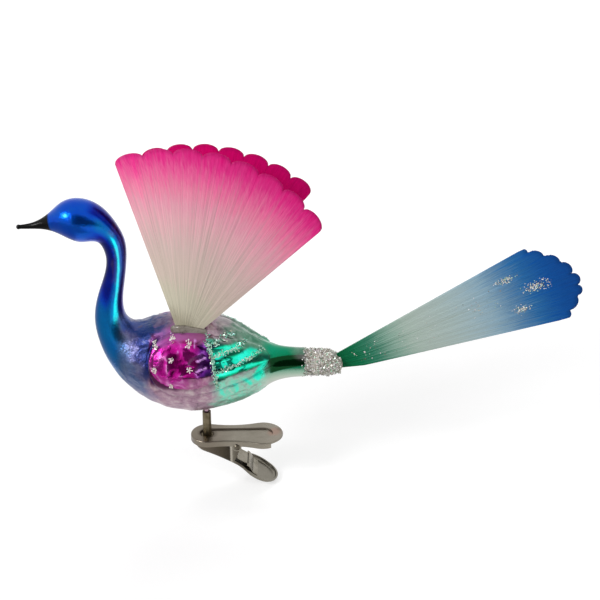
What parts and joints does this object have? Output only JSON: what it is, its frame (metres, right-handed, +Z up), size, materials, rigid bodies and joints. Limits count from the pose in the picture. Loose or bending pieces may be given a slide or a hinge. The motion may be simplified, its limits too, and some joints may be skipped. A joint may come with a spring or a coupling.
{
  "type": "clip-on bird ornament",
  "caption": "Blown-glass bird with raised spun-glass wings and tail, turning on a short metal stem over a sprung tree clip.",
  "frame": {"origin": "in the clip's jaw, on the underside of its top plate, 2 mm in from the plate's end, on the mirror plane", "axes": "+Z up along the stem, -X towards the beak and out of the jaw, +X towards the tail, +Y towards the bird's right wing"},
  "size_m": [0.1701, 0.0332, 0.1177],
  "materials": {
    "clip_steel": "nickel-plated stamped steel, satin",
    "spring_steel": "bright spring steel strip",
    "stem_metal": "rolled plated sheet, warm grey",
    "lacquered_glass": "silvered inside, lacquered blue, violet and green, gloss over frost",
    "spun_glass_pink": "fine spun fibres, off-white dyed pink at the rim",
    "spun_glass_green": "fine spun fibres, green at the root and blue at the rim",
    "clear_cement": "cloudy set cement",
    "silver_glitter": "silver flakes in clear glue"
  },
  "bodies": {
    "clip_base": {"clip_top_plate": "clip_steel", "pivot_pin": "clip_steel", "clip_spring": "spring_steel"},
    "lever": {"clip_lower_lever": "clip_steel"},
    "bird": {"stem_tube": "stem_metal", "stem_cement": "clear_cement", "glass_body": "lacquered_glass", "wing_left": "spun_glass_pink", "wing_right": "spun_glass_pink", "wing_cement_left": "clear_cement", "wing_cement_right": "clear_cement", "tail_fan": "spun_glass_green", "tail_plug": "clear_cement", "glitter_collar": "silver_glitter"}
  },
  "joints": [
    {"name": "lever_pivot", "type": "hinge", "parent": "clip_base", "child": "lever", "pos_m": [0.0127, 0, -0.0018], "axis": [0, -1, 0], "range_deg": [0, 40], "stiffness_Nm_per_rad": 0.03, "springref_deg": -28.65, "deforming": ["clip_spring"]},
    {"name": "stem_swivel", "type": "hinge", "parent": "clip_base", "child": "bird", "pos_m": [0.0032, 0, 0], "axis": [0, 0, 1], "continuous": true}
  ]
}
